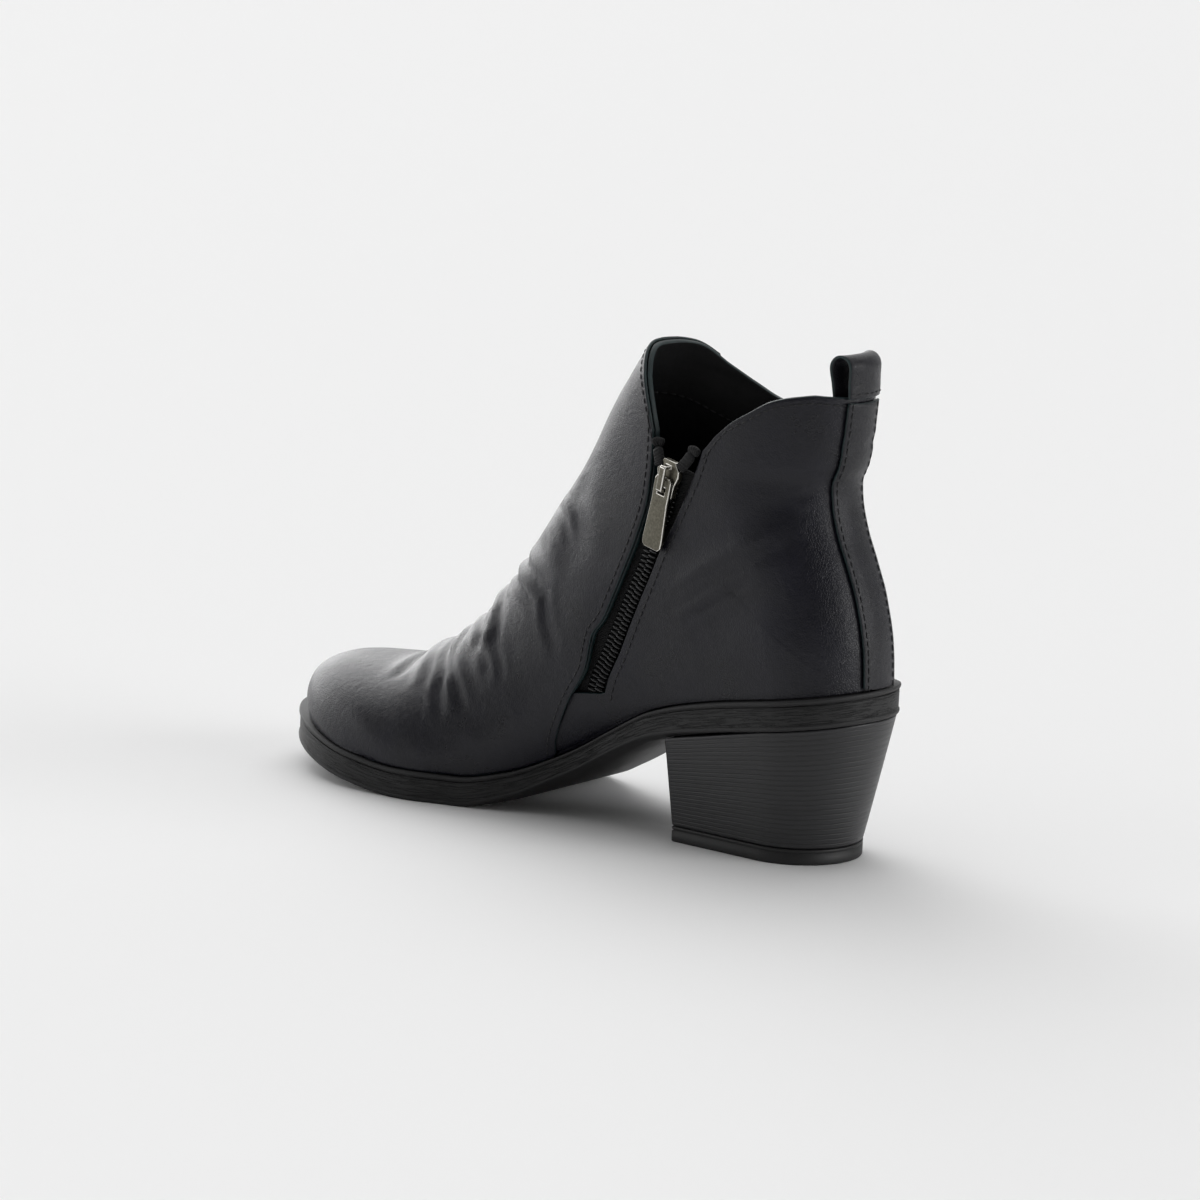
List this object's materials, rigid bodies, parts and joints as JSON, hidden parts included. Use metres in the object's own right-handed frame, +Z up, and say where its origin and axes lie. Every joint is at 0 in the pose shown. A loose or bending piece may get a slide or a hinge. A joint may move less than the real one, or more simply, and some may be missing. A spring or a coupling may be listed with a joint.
{
  "type": "zip ankle boot",
  "caption": "Black leather ankle boot with a side zip, a pull loop at the back, a ribbed rubber sole and a stacked block heel.",
  "frame": {"origin": "middle of the heel's rest face, on the floor", "axes": "+X runs from the heel to the toe, +Y to the inner side of this right boot, where the zip is, +Z up"},
  "size_m": [0.263, 0.0949, 0.1901],
  "materials": {
    "upper_leather": "soft full-grain leather, satin",
    "strip_leather": "soft full-grain leather, satin",
    "insole_board": "matt lining leather",
    "sole_rubber": "matt moulded rubber",
    "heel_stack": "satin, fine stacked lines",
    "zip_tape": "woven, matt",
    "zip_coil": "satin coil",
    "zip_metal": "antiqued nickel, worn bright rims"
  },
  "bodies": {
    "boot": {"outsole": "sole_rubber", "heel_block": "heel_stack", "heel_cap": "sole_rubber", "insole": "insole_board", "upper": "upper_leather", "vamp": "upper_leather", "back_strip": "strip_leather", "pull_loop": "strip_leather", "zip_tape": "zip_tape", "zip_chain": "zip_coil", "slider_body": "zip_metal"},
    "tab": {"pull_tab": "zip_metal"}
  },
  "joints": [
    {"name": "tab_hinge", "type": "hinge", "parent": "boot", "child": "tab", "pos_m": [0.03922, 0.03053, 0.13764], "axis": [0.9709, -0.176, 0.1624], "range_deg": [0, 150]}
  ]
}
